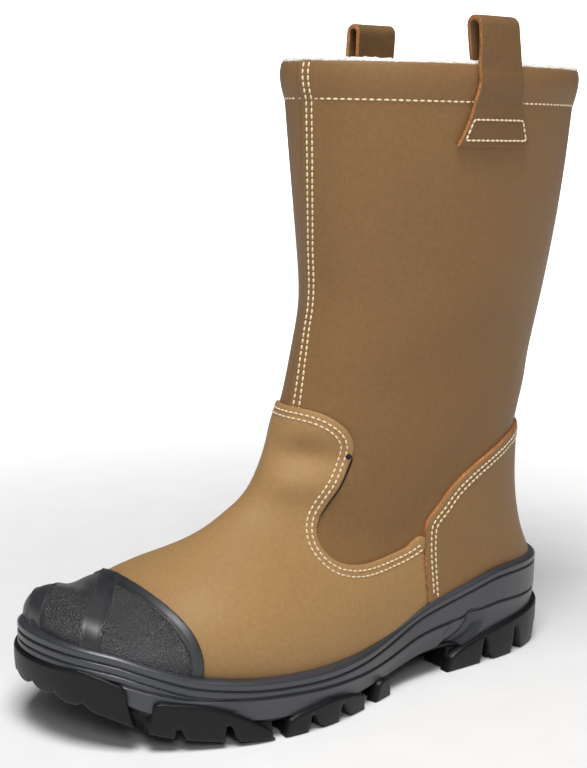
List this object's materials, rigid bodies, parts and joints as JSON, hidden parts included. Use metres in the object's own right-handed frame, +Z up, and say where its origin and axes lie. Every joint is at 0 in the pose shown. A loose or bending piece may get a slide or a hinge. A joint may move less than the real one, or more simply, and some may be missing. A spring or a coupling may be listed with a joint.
{
  "type": "safety boot",
  "caption": "Pull-on leather safety boot for the left foot, with a hollow leg, padded collar, pull loops, rubber scuff cap and lugged rubber sole.",
  "frame": {"origin": "on the floor plane that the sole stands on, under the middle of the boot's box", "axes": "+Z up along the leg, -Y towards the toe, +X to the outer side of the left foot"},
  "size_m": [0.1244, 0.3164, 0.3378],
  "materials": {
    "tan_leather": "smooth matt nubuck, tan",
    "cut_leather": "smooth face, raw cut edges",
    "black_rubber": "satin, fine pebble grain",
    "grey_foam": "moulded polyurethane, satin",
    "sock_board": "felt"
  },
  "bodies": {
    "root": {"outsole": "black_rubber", "midsole": "grey_foam", "insole": "sock_board", "upper": "tan_leather", "vamp": "tan_leather", "counter": "tan_leather", "toe_cap": "black_rubber", "pull_loop_outer": "cut_leather", "pull_loop_inner": "cut_leather"}
  },
  "joints": []
}
